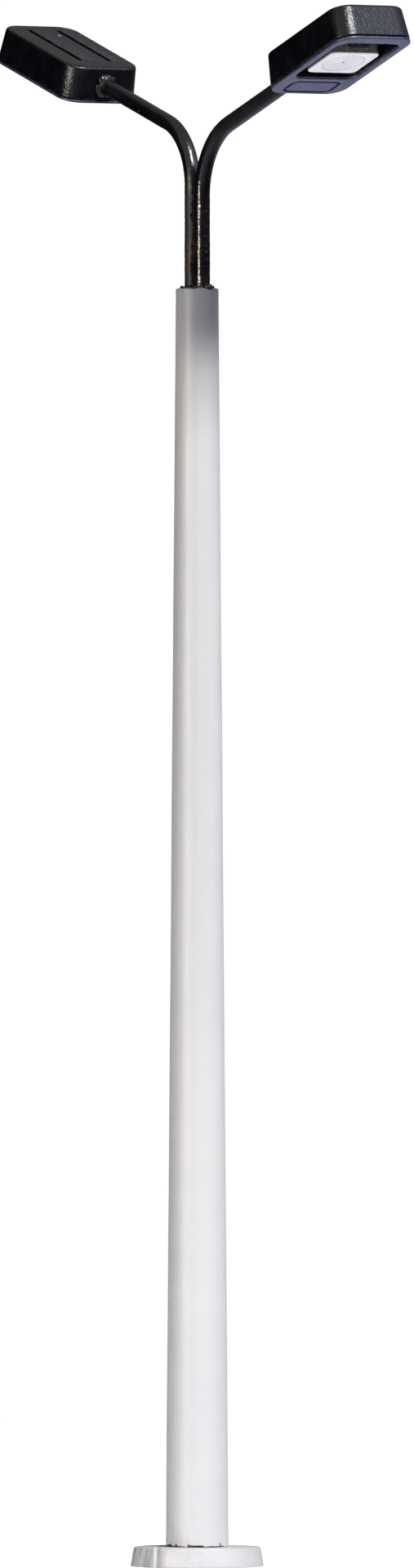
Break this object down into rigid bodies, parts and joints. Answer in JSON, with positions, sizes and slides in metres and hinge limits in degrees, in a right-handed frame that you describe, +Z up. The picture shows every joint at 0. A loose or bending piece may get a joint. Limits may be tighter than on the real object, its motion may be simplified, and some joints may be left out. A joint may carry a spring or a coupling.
{
  "type": "model street lamp",
  "caption": "Twin-arm model railway street lamp: tapered white mast on a round foot, forked black tubes and tilted flat LED heads.",
  "frame": {"origin": "middle of the underside of the round foot, on the mast's axis", "axes": "+X along the longer arm, +Z up the mast, +Y across the arms"},
  "size_m": [0.0416, 0.0082, 0.096],
  "materials": {
    "foot_paint": "white paint, slightly rough",
    "mast_paint": "satin white paint",
    "tube_lacquer": "glossy black lacquer",
    "stem_solder": "glossy black lacquer over solder",
    "head_plastic": "grained matt black",
    "frame_plastic": "satin slate black",
    "cover_plastic": "grained matt black",
    "glue": "glossy",
    "circuit_board": "black solder resist",
    "led_moulding": "white moulding",
    "led_gel": "milky gel, glossy",
    "tin": "bright solder",
    "red_enamel": "red wire enamel",
    "copper_enamel": "clear enamel on copper"
  },
  "bodies": {
    "root": {"foot_disc": "foot_paint", "mast": "mast_paint", "stem_solder_web": "stem_solder", "mast_mouth_seal_front": "stem_solder", "mast_mouth_seal_rear": "stem_solder", "arm_tube_left": "tube_lacquer", "head_housing_left": "head_plastic", "light_frame_left": "frame_plastic", "gear_tray_cover_left": "cover_plastic", "arm_glue_collar_left": "glue", "led_board_left": "circuit_board", "led_package_left": "led_moulding", "led_gel_left": "led_gel", "led_lead_inner_left": "tin", "led_lead_outer_left": "tin", "wire_joint_plus_left": "tin", "wire_joint_minus_left": "tin", "feed_wire_plus_left": "red_enamel", "feed_wire_minus_left": "copper_enamel", "arm_tube_right": "tube_lacquer", "head_housing_right": "head_plastic", "light_frame_right": "frame_plastic", "gear_tray_cover_right": "cover_plastic", "arm_glue_collar_right": "glue", "led_board_right": "circuit_board", "led_package_right": "led_moulding", "led_gel_right": "led_gel", "led_lead_inner_right": "tin", "led_lead_outer_right": "tin", "wire_joint_plus_right": "tin", "wire_joint_minus_right": "tin", "feed_wire_plus_right": "red_enamel", "feed_wire_minus_right": "copper_enamel"}
  },
  "joints": []
}
